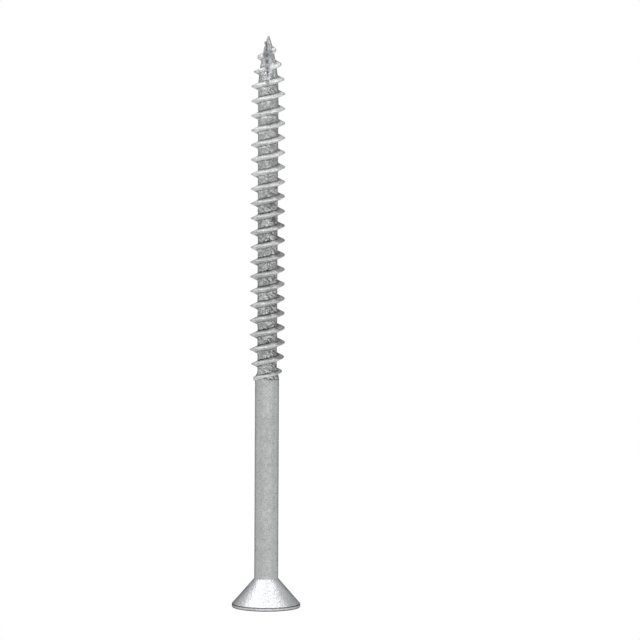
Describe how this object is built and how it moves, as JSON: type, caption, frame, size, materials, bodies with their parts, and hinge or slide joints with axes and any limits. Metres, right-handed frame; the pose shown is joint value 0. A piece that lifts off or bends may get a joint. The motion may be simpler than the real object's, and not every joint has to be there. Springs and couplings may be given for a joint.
{
  "type": "deck screw",
  "caption": "Long countersunk wood screw with a smooth shank, a coarse thread, a slotted cutting point and a six-lobe drive recess.",
  "frame": {"origin": "centre of the head's flat face, which the screw stands on", "axes": "+Z along the screw from the head to the point; the slot milled into the point faces -Y"},
  "size_m": [0.012, 0.012, 0.1],
  "materials": {
    "coated_steel": "matt silver-grey zinc flake coating, brighter on the cone and the rim of the head"
  },
  "bodies": {
    "root": {"deck_screw": "coated_steel"}
  },
  "joints": []
}
